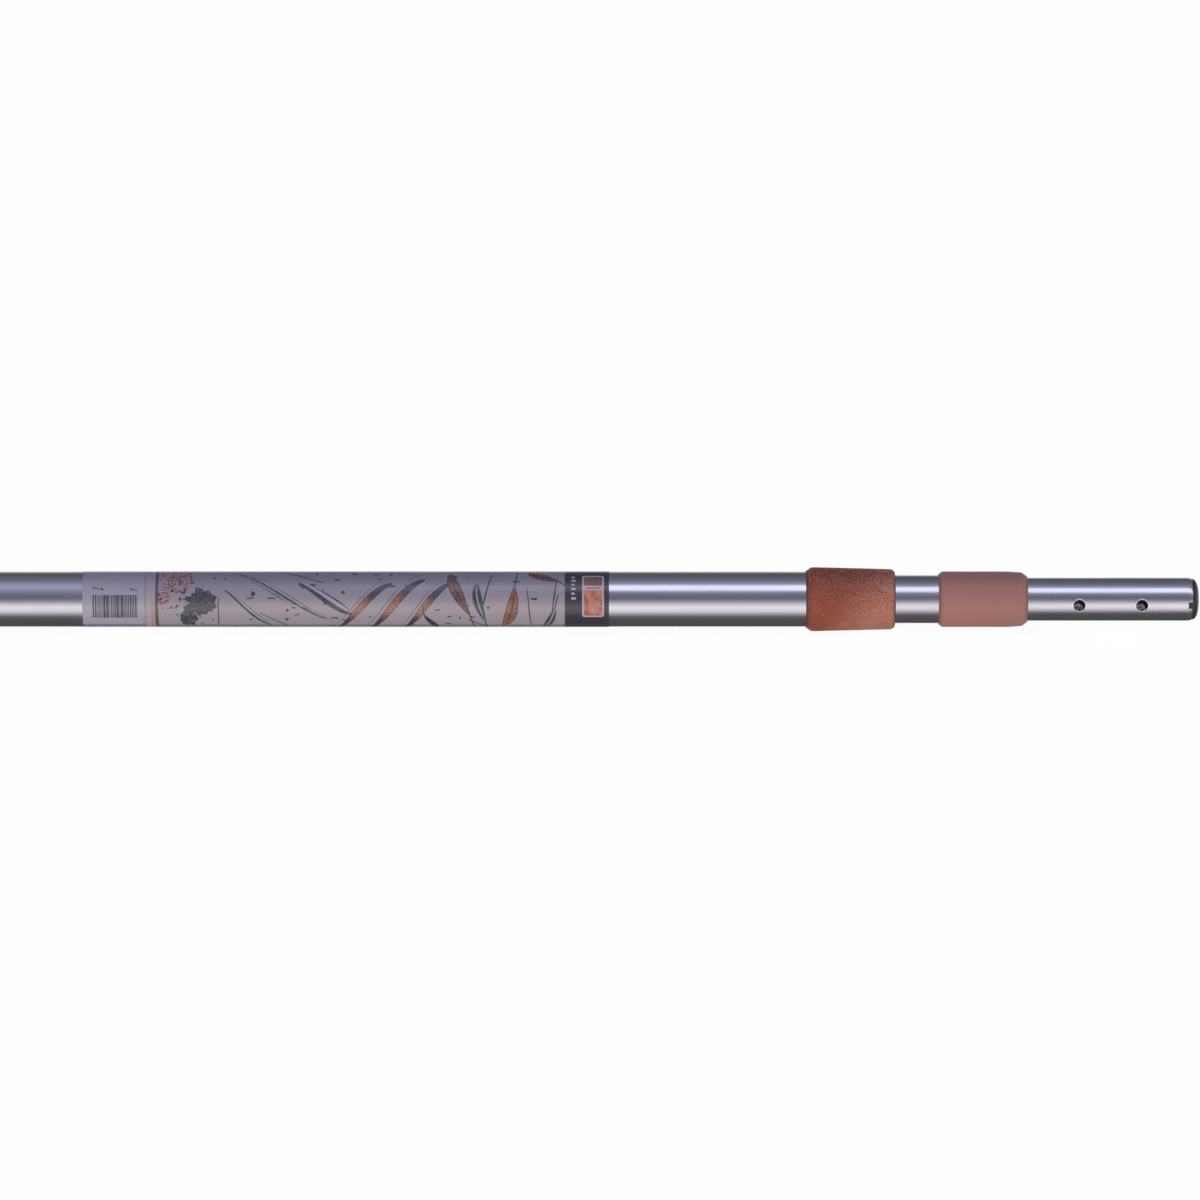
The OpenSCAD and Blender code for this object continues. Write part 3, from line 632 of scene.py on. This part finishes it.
def printedFilm(name, size, ground, shapes):
    # the film is laid flat, every ink's outline is cut into it, and it is rolled round the tube and
    # given its thickness. x runs along it from its rear edge, v round it from the front of the pole.
    used = [ground] + sorted({shape["ink"] for shape in shapes})
    long, rows = size["long"], size["rows"]
    points = [Vector(p) for p in ((0, -halfRound), (long, -halfRound), (long, halfRound), (0, halfRound))]
    faces, edges, drawn = [[0, 1, 2, 3]], [], []
    for i in range(1, rows):
        v = -halfRound + 2 * halfRound * i / rows
        edges.append((len(points), len(points) + 1))
        points += [Vector((0, v)), Vector((long, v))]
    for shape in shapes:
        # what crosses the film's join at the back comes in again at the far side
        for shift in (-2 * halfRound, 0, 2 * halfRound):
            outline = [Vector((p[0], p[1] + shift)) for p in shape["outline"]]
            if max(p.y for p in outline) < -halfRound or min(p.y for p in outline) > halfRound:
                continue
            faces.append(list(range(len(points), len(points) + len(outline))))
            points += outline
            drawn.append((shape, shift))
    verts, _, tris, _, _, source = delaunay_2d_cdt(points, edges, faces, 1, 1e-5)
    bm = bmesh.new()
    corners = [bm.verts.new((p.x, p.y, 0)) for p in verts]
    stroke = bm.loops.layers.uv.new("stroke")
    for tri, owners in zip(tris, source):
        if 0 not in owners:
            continue
        face = bm.faces.new([corners[i] for i in tri])
        if max(owners):
            shape, shift = drawn[max(owners) - 1]
            face.material_index = used.index(shape["ink"])
            if shape["ink"] == "ember":
                for loop in face.loops:
                    here = Vector((loop.vert.co.x, loop.vert.co.y - shift))
                    nearest = min(range(len(shape["spine"])),
                                  key=lambda i: (shape["spine"][i] - here).length)
                    loop[stroke].uv = (nearest / (len(shape["spine"]) - 1), 0)
    bmesh.ops.delete(bm, geom=[v for v in bm.verts if not v.link_faces], context="VERTS")
    for vert in bm.verts:
        turn = vert.co.y / filmRadius
        reach = (filmRadius + size["thick"]) * mm
        vert.co = ((size["rear"] + vert.co.x) * mm, -reach * math.cos(turn), reach * math.sin(turn))
    bmesh.ops.remove_doubles(bm, verts=bm.verts, dist=0.0005 * mm)
    made = bmesh.ops.extrude_edge_only(bm, edges=[e for e in bm.edges if e.is_boundary])["geom"]
    for vert in (g for g in made if isinstance(g, bmesh.types.BMVert)):
        vert.co.yz = vert.co.yz.normalized() * filmRadius * mm
    bmesh.ops.bridge_loops(bm, edges=[e for e in bm.edges if e.is_boundary])
    bmesh.ops.recalc_face_normals(bm, faces=bm.faces)
    return asObject(bm, name, [inks[ink] for ink in used], sharp=50)


# The long sleeve: silt, reeds, ripples and leaves on a pale ground, and a dark band with a framed panel.
# Blots have a place, a radius and a number of sides. Silt lies round a middle with a spread, and what is
# adrift between two limits. Reeds and twigs go from (x, v) by (dx, dv) at a width, ripples from their low
# end, leaves from stem to tip. Panels and ticks start from the band's rear edge.
printedSleeve = dict(
    rear=731.6, long=292.2, thick=0.16, rows=76, bandStart=263.6, underShadeLow=-19, seam=-14.5, hem=0.4, seed=11,
    blots=(("charcoal", 28, 3, 9.5, 30), ("charcoal", 20, -9, 6, 22), ("blush", 12, 19, 10.5, 26),
           ("blush", 4, 7, 5, 16)),
    blotUneven=0.24,
    silt=dict(count=90, inks=("charcoal", "umber", "rust", "line"), x=(18, 9), wrap=38, v=(5, 13),
              radius=(0.3, 1.0), sides=7, uneven=0.3),
    rule=(39.0, 39.7, -15, 7),
    adrift=dict(count=64, inks=("slate", "line", "charcoal", "umber"), x=(42, 258), v=(-21, 33), dashes=0.4,
                turn=0.5, reach=(2, 5), wide=(0.8, 1.5), radius=(0.6, 1.6), sides=9, uneven=0.25),
    reeds=((47, 29, 62, -37, 3.0), (92, 17, 33, -21, 6.4), (66, -3, 20, -13, 1.5), (44, 12, 30, -27, 3.4),
           (74, 31, 34, -14, 2.4), (58, 20, 26, -16, 1.4)),
    ripples=((116, -21, 36, 37, 3.9), (137, -22, 36, 41, 4.3), (159, -22, 31, 38, 4.0)),
    arcs=((96, 30, 40, -6), (128, 31, 44, -9), (150, 29, 26, -14), (60, -14, 26, -6), (84, 3, 30, -15),
          (42, 24, 36, -9)),
    leaves=(("rust", 190, 25, 12, -30, 6.4), ("amber", 224, -16, 7, 30, 6.8),
            ("slate", 207, 16, 5, -26, 5.0), ("rust", 240, 26, 19, -8, 5.0),
            ("umber", 181, -20, -8, 14, 3.0), ("slate", 250, -18, 7, 18, 4.0)),
    twigs=(("rust", 186, 28, 30, -1, 2.4), ("line", 217, 25, -8, -30, 1.1), ("rust", 226, 29, 26, 2, 2.6),
           ("line", 239, 14, 3, -32, 0.9), ("umber", 259, 22, -4, -28, 1.0),
           ("line", 199, -8, 20, -14, 1.0)),
    panels=(("cream", 11.2, 25.4, -6.8, 23.4, 1.8), ("mauve", 12.4, 24.2, 14.6, 22.2, 0.8),
            ("band", 13.5, 23.1, 12.6, 13.3, 0.0), ("orange", 12.4, 24.2, -5.6, 11.6, 0.8)),
    ticks=6, tickRear=4.2, tickFronts=(7.2, 6.4), tickLow=5.4, tickHigh=6.9, tickPitch=3.1)


def waterside(size, seed):
    dice = random.Random(seed)
    drawn = []
    for ink, x, v, reach, sides in size["blots"]:
        drawn += spot(ink, x, v, reach, sides, size["blotUneven"], dice)
    marks = size["silt"]
    for _ in range(marks["count"]):
        drawn += spot(dice.choice(marks["inks"]), dice.gauss(*marks["x"]) % marks["wrap"] + 1,
                      dice.gauss(*marks["v"]), dice.uniform(*marks["radius"]), marks["sides"],
                      marks["uneven"], dice)
    drawn += panel("line", *size["rule"])
    marks = size["adrift"]  # seeds and dashes
    for _ in range(marks["count"]):
        x, v = dice.uniform(*marks["x"]), dice.uniform(*marks["v"])
        if dice.random() < marks["dashes"]:
            turn, reach = dice.uniform(-marks["turn"], marks["turn"]), dice.uniform(*marks["reach"])
            drawn += brush("line", (x, v), (x + reach * 0.3, v + turn), (x + reach * 0.6, v + turn),
                           (x + reach, v + turn * 2), dice.uniform(*marks["wide"]), "none", 5)
        else:
            drawn += spot(dice.choice(marks["inks"]), x, v, dice.uniform(*marks["radius"]),
                          marks["sides"], marks["uneven"], dice)
    for x, v, dx, dv, wide in size["reeds"]:
        path = [(x, v), (x + dx * 0.33, v + dv * 0.3), (x + dx * 0.66, v + dv * 0.68), (x + dx, v + dv)]
        drawn += brush("slate", *path, wide, "club")
        drawn += brush("pale", *[(p[0] + wide * 0.08, p[1] + wide * 0.13) for p in path], wide * 0.36,
                       "club")
    for x, v, dx, dv in size["arcs"]:
        drawn += brush("shade", (x, v), (x + dx * 0.4, v + dv * 0.1), (x + dx * 0.8, v + dv * 0.5),
                       (x + dx, v + dv), 0.8, "both")
    for x, v, dx, dv, wide in size["ripples"]:
        path = [(x + dx, v + dv), (x + dx * 0.75, v + dv * 0.95), (x + dx * 0.35, v + dv * 0.55), (x, v)]
        drawn += brush("ember", *path, wide, "both", 26, edge="line", edgeWidth=0.35)
        drawn += brush("shade", *[(p[0] - wide * 0.75, p[1] + wide * 0.7) for p in path], 0.9, "both", 22)
    for ink, x, v, dx, dv, wide in size["twigs"]:
        drawn += brush(ink, (x, v), (x + dx * 0.3, v + dv * 0.3 + 1.5), (x + dx * 0.7, v + dv * 0.7 + 1.5),
                       (x + dx, v + dv), wide, "both", 12)
    for ink, x, v, dx, dv, wide in size["leaves"]:
        path = [(x, v), (x + dx * 0.2 + dv * 0.12, v + dv * 0.3), (x + dx * 0.75 + dv * 0.06, v + dv * 0.7),
                (x + dx, v + dv)]
        drawn += brush(ink, *path, wide, "leaf", 20, edge="line" if ink == "slate" else "umber")
        drawn += brush("pale" if ink == "slate" else "umber", *path, 0.8, "both", 14)
        x, v = path[-1]
        drawn += brush("line", (x, v), (x + dx * 0.1, v + dv * 0.1), (x + dx * 0.2, v + dv * 0.3),
                       (x + dx * 0.2 + 1, v + dv * 0.45), 0.9, "none", 10)
    # the band's framed panel and its row of plain ticks
    band = size["bandStart"]
    for ink, x0, x1, v0, v1, corner in size["panels"]:
        drawn += panel(ink, band + x0, band + x1, v0, v1, corner)
    for i in range(size["ticks"]):
        drawn += panel("cream", band + size["tickRear"], band + size["tickFronts"][i % 2],
                       size["tickLow"] + size["tickPitch"] * i, size["tickHigh"] + size["tickPitch"] * i)
    return drawn


def movedRound(shapes, by):
    # the same shapes further round the pole
    moved = []
    for shape in shapes:
        parts = {key: [Vector((p[0], p[1] + by)) for p in shape[key]]
                 for key in ("outline", "spine") if key in shape}
        moved.append(dict(ink=shape["ink"], **parts))
    return moved


def ringPanel(ink, x0, x1):
    return panel(ink, x0, x1, -halfRound - 1, halfRound + 1)


size = printedSleeve
shapes = ringPanel("band", size["bandStart"], size["long"] + 1)
# painted shade: a darker strip along the film's underside, where shade falls
shapes += panel("seam", -1, size["bandStart"], size["underShadeLow"], size["seam"])
# the back has a print of its own
shapes += movedRound(waterside(size, size["seed"] + 1), halfRound)
shapes += waterside(size, size["seed"])
shapes += ringPanel("line", -1, size["hem"])
settle(printedFilm("printed_sleeve_film", size, "lavender", shapes), "outer", "printed_film",
       "printed_sleeve")
print("printed sleeve made")

# The small label behind it: a block of plain bars, a few dashes and a tinted margin
codeLabel = dict(rear=683.0, long=48.6, thick=0.12, rows=76, barsFrom=6.6, barsTo=35.6, low=-7.3, high=8.3,
                 bars=(0.45, 0.65, 1.0, 1.6), spaces=(0.35, 0.45, 0.55), margin=40.3, crease=0.5,
                 patchWide=4.2, patchLow=-30, patchHigh=4.5, patchCorner=1.4, hem=1.5, underShadeLow=-19,
                 seam=-13.9, seed=5,
                 dashes=((6.9, 8.4, 12.4, 13.8), (8.9, 9.7, 12.1, 13.3), (10.6, 11.2, 11.7, 13.1),
                         (11.7, 13.6, 11.5, 12.9), (31.1, 32.7, 11.4, 12.7), (33.1, 33.7, 11.1, 12.3),
                         (34.2, 35.3, 11.0, 12.1)))
size = codeLabel
dice = random.Random(size["seed"])
shapes = []
for shift in (0, halfRound):
    x = size["barsFrom"]
    while x < size["barsTo"]:
        wide = dice.choice(size["bars"])
        shapes += panel("bars", x, min(x + wide, size["barsTo"]), size["low"] + shift, size["high"] + shift)
        x += wide + dice.choice(size["spaces"])
    for x0, x1, v0, v1 in size["dashes"]:
        shapes += panel("bars", x0, x1, v0 + shift, v1 + shift)
shapes += ringPanel("lilac", size["margin"], size["long"] + 1)
shapes += panel("salmon", size["long"] - size["patchWide"], size["long"] + 1, size["patchLow"],
                size["patchHigh"], size["patchCorner"])
shapes += ringPanel("shade", size["margin"], size["margin"] + size["crease"])
# painted shade: a darker strip along the film's underside, where shade falls
shapes += panel("seam", -1, size["margin"], size["underShadeLow"], size["seam"])
shapes += ringPanel("hem", size["long"] - size["hem"], size["long"] + 1)
settle(printedFilm("code_label_film", size, "pearl", shapes), "outer", "code_film", "code_label")
print("code label made")


# The cap in the rolled tip

tipCap = dict(sleeveRear=1390.1, sleeve=12.95, wall=1.6, neck=12.15, nose=13.2, dome=4.6, fullness=0.82,
              domeSteps=24, innerSoft=0.3, outerSoft=0.4, steps=160, lugRear=1399.35, lugAhead=0.3,
              lugHalf=2.1, lugDeep=1.9, lugSoft=0.12, lugSunk=0.06, lugCuts=7)
size = tipCap
start, end = tipTube["rollStart"], tipTube["x1"]
dome = []
for i in range(size["domeSteps"] + 1):  # a little fuller than an ellipse at its shoulder
    turn = math.pi / 2 * i / size["domeSteps"]
    dome.append((end + size["dome"] * math.sin(turn) ** size["fullness"],
                 size["nose"] * max(0.0, math.cos(turn)) ** size["fullness"]))
dome[-1] = (end + size["dome"], 0)
outline = [(start, 0), (start, size["sleeve"] - size["wall"]),
           (size["sleeveRear"], size["sleeve"] - size["wall"], size["innerSoft"]),
           (size["sleeveRear"], size["sleeve"], size["outerSoft"]),
           (start, size["sleeve"]), (end, size["neck"]), *dome]
settle(asObject(turned(outline, size["steps"]), "tip_cap_moulded", [capPlastic]), "tip", "cap_plastic",
       "tip_end_cap")

# the key lugs fill the tube's notches, and their outsides follow the roll
lugs = bmesh.new()
deep = size["lugDeep"]
for side in (-1, 1):
    block = bmesh.new()
    addBlock(block, size["lugRear"], end + size["lugAhead"], deep / 2, size["lugHalf"])
    bmesh.ops.bevel(block, geom=block.edges[:], offset=size["lugSoft"] * mm, segments=2, profile=0.5,
                    affect="EDGES", material=-1)
    bmesh.ops.subdivide_edges(block, edges=[e for e in block.edges if e.calc_length() > mm],
                              cuts=size["lugCuts"], use_grid_fill=True)
    for vert in block.verts:
        share = max(0.0, min(1.0, (vert.co.x / mm - start) / (end - start)))
        rolled = tipTube["radius"] - tipTube["rollIn"] * (1 - math.sqrt(1 - share ** 2)) - size["lugSunk"]
        reach = (rolled - deep / 2) * mm + vert.co.y
        vert.co.y = side * math.sqrt(reach ** 2 - vert.co.z ** 2)
    block.normal_update()
    bmesh.ops.recalc_face_normals(block, faces=block.faces)
    moveInto(lugs, block)
settle(asObject(lugs, "tip_cap_lugs", [capPlastic]), "tip", "cap_plastic")
print("tip cap made")


# Finishes of the solids that stay as they are

finishes = dict(outer_guide_bush=bushNylon, middle_guide_bush=bushNylon, middle_cam_plug=plugNylon,
                tip_cam_plug=plugNylon, middle_cam_washer=plugNylon, tip_cam_washer=plugNylon,
                middle_cam_ring=camRubber, tip_cam_ring=camRubber, middle_plug_pin=zincSteel,
                tip_plug_pin=zincSteel, middle_cam_screw=zincSteel, tip_cam_screw=zincSteel)
for node, finish in finishes.items():
    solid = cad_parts[node]
    solid.data.materials.clear()
    solid.data.materials.append(finish)
print("cam locks and bushes finished")


# Light, floor and camera

poleCentre = 1018.0  # the part of the pole in the middle of the view, in mm along X
world = bpy.data.worlds.new("softStudio")
bpy.context.scene.world = world
world.use_nodes = True
tree = world.node_tree
tree.nodes.clear()
direction = addNode(tree, "ShaderNodeTexCoord", out="Generated")
parts = addNode(tree, "ShaderNodeSeparateXYZ", {"Vector": direction}, out="X").node
towards = addNode(tree, "ShaderNodeMath", {0: parts.outputs["Y"], 1: -1.0}, operation="MULTIPLY")
angle = addNode(tree, "ShaderNodeMath", {0: parts.outputs["Z"], 1: towards}, operation="ARCTAN2")
place = addNode(tree, "ShaderNodeMapRange", {"Value": angle, "From Min": -math.pi, "From Max": math.pi})


def at(degrees):
    # place on the ramp of an angle about the pole: 0 is level in front, 90 is straight up
    return (degrees + 180) / 360


studio = dict(strength=1.67, backdrop="#FEFEFE")
room = setStops(addNode(tree, "ShaderNodeValToRGB", {"Fac": place}), [
    (at(-180), "#B0ACB2"), (at(-158), "#DEDADF"), (at(-135), "#454346"), (at(-66), "#504D50"),
    (at(-20), "#E9E3EA"), (at(22), "#5D5B69"), (at(33), "#656578"), (at(70), "#9597B3"),
    (at(112), "#5D5F6B"), (at(150), "#4A4A4E"), (at(180), "#B0ACB2")], "EASE")
lit = addNode(tree, "ShaderNodeBackground", {"Color": room, "Strength": studio["strength"]})
plain = addNode(tree, "ShaderNodeBackground", {"Color": studio["backdrop"], "Strength": 1.0})
seen = addNode(tree, "ShaderNodeLightPath", out="Is Camera Ray")
sky = addNode(tree, "ShaderNodeMixShader", {0: seen, 1: lit, 2: plain})
addNode(tree, "ShaderNodeOutputWorld", {"Surface": sky})


def addLamp(name, kind, look, **settings):
    # a lamp that shines on the pole's axis at look["x"], from look["angle"] about it and that far away
    lamp = bpy.data.lights.new(name, kind)
    lamp.energy = look["power"]
    lamp.color = linearColour(look["colour"])[:3]
    for key, value in settings.items():
        setattr(lamp, key, value)
    made = bpy.data.objects.new(name, lamp)
    bpy.context.scene.collection.objects.link(made)
    turn = math.radians(look["angle"])
    outwards = Vector((0, -math.cos(turn), math.sin(turn)))
    made.location = Vector((look["x"] * mm, 0, 0)) + outwards * look["away"] * mm
    made.rotation_mode = "QUATERNION"
    made.rotation_quaternion = outwards.to_track_quat("Z", "Y")
    return made


# a long soft strip above and in front gives the tubes their upper streak
strip = dict(angle=66, x=2375, away=900, long=3050, wide=400, power=4.3, colour="#F0F3FF")
stripLight = addLamp("strip", "AREA", strip, shape="RECTANGLE", size=strip["long"] * mm,
                     size_y=strip["wide"] * mm)
stripLight.visible_camera = stripLight.visible_diffuse = False

# a narrow spot from the front shows the inside of the tip through its button holes
pinSpot = dict(angle=23, x=1348.8, away=3000, across=62, blend=0.2, lampRadius=30, power=210,
               colour="#FFFFFF")
spotLight = addLamp("pinSpot", "SPOT", pinSpot, spot_blend=pinSpot["blend"],
                    shadow_soft_size=pinSpot["lampRadius"] * mm,
                    spot_size=2 * math.atan(pinSpot["across"] / 2 / pinSpot["away"]))
spotLight.visible_glossy = False

# a weak cool light from below, as off the floor, reaches the undersides of the collars and films
fromBelow = dict(angle=-92, x=poleCentre, away=3000, spread=40, power=0.38, colour="#8CD0FF")
lowLight = addLamp("fromBelow", "SUN", fromBelow, angle=math.radians(fromBelow["spread"]))
lowLight.visible_glossy = False

# plain pale floor under the grip and the outer collar
floorSize = dict(half=60000, top=-20.8, colour="#5A5A5A", glow=0.955)
bm = bmesh.new()
bmesh.ops.create_grid(bm, x_segments=1, y_segments=1, size=floorSize["half"] * mm,
                      matrix=Matrix.Translation((poleCentre * mm, 0, floorSize["top"] * mm)))
paleFloor, tree, shader = newMaterial("paleFloor", Roughness=1.0, Emission_Strength=floorSize["glow"],
                                      Specular_IOR_Level=0.0)
shader.inputs["Base Color"].default_value = linearColour(floorSize["colour"])
shader.inputs["Emission Color"].default_value = (1, 1, 1, 1)
floor = asObject(bm, "floor", [paleFloor])
floor.visible_diffuse = floor.visible_glossy = floor.visible_transmission = floor.visible_shadow = False

view = dict(distance=5000, elevation=18, pixelsPerMm=1.54, frame=1200, sensor=36, axisLow=0.8)
lens = bpy.data.cameras.new("camera")
lens.sensor_width = view["sensor"]
lens.lens = view["pixelsPerMm"] * view["distance"] / view["frame"] * view["sensor"]
lens.clip_start, lens.clip_end = 0.1, 500
camera = bpy.data.objects.new("camera", lens)
bpy.context.scene.collection.objects.link(camera)
lift = math.radians(view["elevation"])
back = Vector((0, -math.cos(lift), math.sin(lift)))
upwards = Vector((0, math.sin(lift), math.cos(lift)))
# the pole lies a little above the middle of the frame
aim = Vector((poleCentre * mm, 0, 0)) - upwards * view["axisLow"] / view["pixelsPerMm"] * mm
camera.location = aim + back * view["distance"] * mm
camera.rotation_mode = "QUATERNION"
camera.rotation_quaternion = back.to_track_quat("Z", "Y")
bpy.context.scene.camera = camera
bpy.context.scene.view_settings.view_transform = "Standard"
print("light, floor and camera set")
